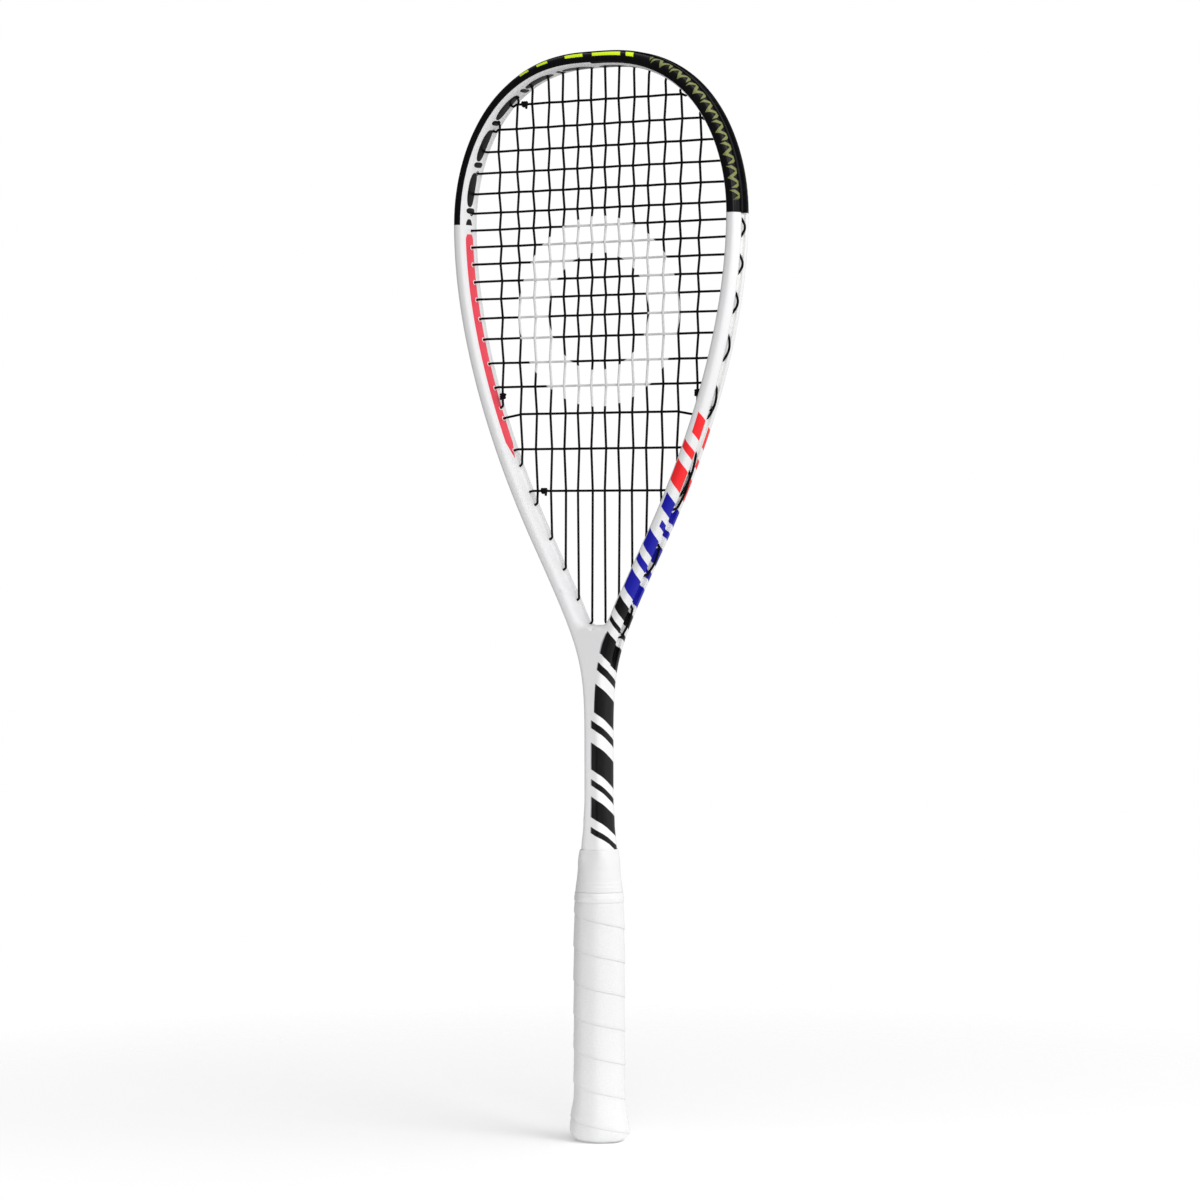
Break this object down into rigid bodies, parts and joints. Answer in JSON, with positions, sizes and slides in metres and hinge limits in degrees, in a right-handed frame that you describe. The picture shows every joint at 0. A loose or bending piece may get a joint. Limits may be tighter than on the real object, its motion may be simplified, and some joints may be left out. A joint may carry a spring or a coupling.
{
  "type": "squash racket",
  "caption": "Hand racket for striking a small ball: teardrop hoop with a woven string bed, open V throat, slim shaft and an oval wrapped handle flared at the butt.",
  "frame": {"origin": "middle of the flat butt end", "axes": "+Z from the butt to the tip, X across the string bed, -Y out of the front face"},
  "size_m": [0.2126, 0.0338, 0.686],
  "materials": {
    "carbon_paint": "gloss lacquer over carbon fibre",
    "bumper_black": "satin moulded",
    "grommet_white": "satin moulded",
    "string_black": "smooth coated multifilament",
    "grip_white": "matte perforated wrap",
    "foam": "moulded rigid foam",
    "cap_plastic": "satin moulded"
  },
  "bodies": {
    "root": {"frame": "carbon_paint", "bumper_guard": "bumper_black", "side_grommet_strip_left": "grommet_white", "side_grommet_strip_right": "grommet_white", "throat_grommet_left_1": "grommet_white", "throat_grommet_left_2": "grommet_white", "throat_grommet_left_3": "grommet_white", "throat_grommet_left_4": "grommet_white", "throat_grommet_left_5": "grommet_white", "throat_grommet_right_1": "grommet_white", "throat_grommet_right_2": "grommet_white", "throat_grommet_right_3": "grommet_white", "throat_grommet_right_4": "grommet_white", "throat_grommet_right_5": "grommet_white", "main_string": "string_black", "cross_string": "string_black", "main_knot_left": "string_black", "main_knot_right": "string_black", "cross_knot_upper": "string_black", "cross_knot_lower": "string_black", "butt_cap": "cap_plastic", "handle_pallet": "foam", "grip_tape": "grip_white", "finishing_band": "grip_white", "handle_collar": "grip_white"}
  },
  "joints": []
}
